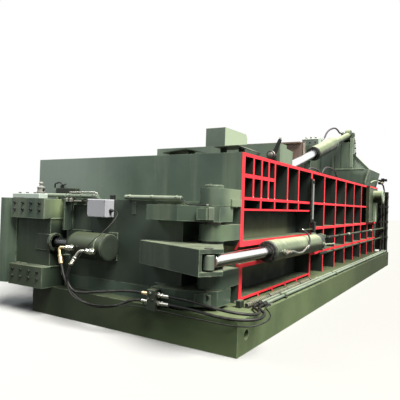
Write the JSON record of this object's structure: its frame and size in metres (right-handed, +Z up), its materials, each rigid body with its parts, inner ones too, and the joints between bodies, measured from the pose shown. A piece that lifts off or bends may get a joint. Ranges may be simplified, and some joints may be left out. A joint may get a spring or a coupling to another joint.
{
  "type": "recycling baler",
  "caption": "Long hydraulic scrap baler: ribbed press box on a low base, side-hinged discharge door with a lock pin, rear-hinged lid, and rams that press the bale.",
  "frame": {"origin": "centre of the base's underside, on the floor", "axes": "+Z up, +Y from the discharge door to the back along the machine's length, +X towards the open ribbed side that carries the door cylinder"},
  "size_m": [4.591, 10.7, 3.918],
  "materials": {
    "hull_paint": "satin",
    "rib_paint": "satin",
    "cylinder_paint": "satin",
    "gland_steel": "dark machined",
    "rod_chrome": "polished",
    "bare_steel": "worn",
    "zinc_fitting": "zinc plated",
    "tube_paint": "satin",
    "hose_rubber": "matt",
    "box_plastic": "matt"
  },
  "bodies": {
    "frame": {"base": "hull_paint", "chamber_roof": "hull_paint", "chamber_walls": "hull_paint", "corner_hoses": "hose_rubber", "deck_sheets": "hull_paint", "door_cylinder_bracket": "hull_paint", "door_cylinder_hose": "hose_rubber", "floor_liner": "bare_steel", "frame_knuckles": "hull_paint", "front_bay_frame": "rib_paint", "front_plate": "hull_paint", "hinge_pin": "bare_steel", "hose_tray": "tube_paint", "left_wall_frame": "rib_paint", "lid_catch": "bare_steel", "lid_cylinder_post": "hull_paint", "lid_hinge_pin": "bare_steel", "lock_anchor_post": "hull_paint", "lock_frame": "hull_paint", "lock_frame_bolts": "bare_steel", "lock_limit_switch": "box_plastic", "pipe_clamps": "tube_paint", "ram_cylinders": "cylinder_paint", "rear_bay_frame": "rib_paint", "rear_beam": "hull_paint", "rear_plate": "hull_paint", "rear_risers": "gland_steel", "right_bulkhead": "rib_paint", "side_cabinet": "hull_paint", "side_pipes": "tube_paint", "side_ram_housing": "hull_paint", "wall_top_hoses": "hose_rubber"},
    "door_leaf": {"door": "hull_paint", "door_hinge_plates": "hull_paint", "door_lever": "hull_paint", "lock_cylinder": "cylinder_paint", "lock_port_elbows": "zinc_fitting", "junction_box": "box_plastic", "door_top_conduits": "tube_paint", "hose_manifold": "hull_paint", "manifold_fittings": "zinc_fitting", "lock_hoses": "hose_rubber", "sensor_cable": "hose_rubber"},
    "lock_bolt": {"lock_pin": "rod_chrome"},
    "door_cylinder": {"door_cylinder_barrel": "cylinder_paint", "door_cylinder_gland": "gland_steel", "door_cylinder_ports": "zinc_fitting"},
    "door_rod": {"door_cylinder_rod": "rod_chrome"},
    "lid": {"lid_shell": "hull_paint", "lid_upstands": "hull_paint", "lid_ballast": "hull_paint", "lid_rear_wall": "hull_paint", "lid_lug": "hull_paint"},
    "lid_cylinder": {"lid_cylinder_barrel": "cylinder_paint", "lid_cylinder_gland": "gland_steel", "lid_cylinder_valve": "hull_paint", "lid_cylinder_hose": "hose_rubber"},
    "lid_rod": {"lid_cylinder_rod": "rod_chrome"},
    "main_press_ram": {"main_ram": "bare_steel"},
    "side_press_ram": {"side_ram": "bare_steel"}
  },
  "joints": [
    {"name": "door_hinge", "type": "hinge", "parent": "frame", "child": "door_leaf", "pos_m": [1.145, -4.775, 1.1], "axis": [0, 0, 1], "range_deg": [0, 90], "deforming": ["corner_hoses"]},
    {"name": "door_cylinder_pivot", "type": "hinge", "parent": "frame", "child": "door_cylinder", "pos_m": [1.475, -1.335, 1.047], "axis": [0, 0, 1], "range_deg": [0, 5.8], "deforming": ["door_cylinder_hose"]},
    {"name": "door_rod_slide", "type": "slide", "parent": "door_cylinder", "child": "door_rod", "axis": [0, 1, 0], "range_m": [0, 0.96]},
    {"name": "lock_pin_slide", "type": "slide", "parent": "door_leaf", "child": "lock_bolt", "axis": [-1, 0, 0], "range_m": [0, 0.18]},
    {"name": "lid_hinge", "type": "hinge", "parent": "frame", "child": "lid", "pos_m": [0, 0.165, 2.25], "axis": [-1, 0, 0], "range_deg": [0, 60]},
    {"name": "lid_cylinder_pivot", "type": "hinge", "parent": "frame", "child": "lid_cylinder", "pos_m": [0.83, 3.315, 3.768], "axis": [-1, 0, 0], "range_deg": [0, 17.1]},
    {"name": "lid_rod_slide", "type": "slide", "parent": "lid_cylinder", "child": "lid_rod", "axis": [0, 0.9623, 0.2719], "range_m": [0, 1.195]},
    {"name": "main_ram_slide", "type": "slide", "parent": "frame", "child": "main_press_ram", "axis": [0, -1, 0], "range_m": [0, 2.8]},
    {"name": "side_ram_slide", "type": "slide", "parent": "frame", "child": "side_press_ram", "axis": [1, 0, 0], "range_m": [0, 0.75]}
  ],
  "couplings": [
    {"joint": "door_cylinder_pivot", "follows": "door_hinge", "ratio": 0.064262},
    {"joint": "door_rod_slide", "follows": "door_hinge", "m_per_rad": 0.61057},
    {"joint": "lid_cylinder_pivot", "follows": "lid_hinge", "ratio": 0.28386},
    {"joint": "lid_rod_slide", "follows": "lid_hinge", "m_per_rad": 1.1367}
  ]
}
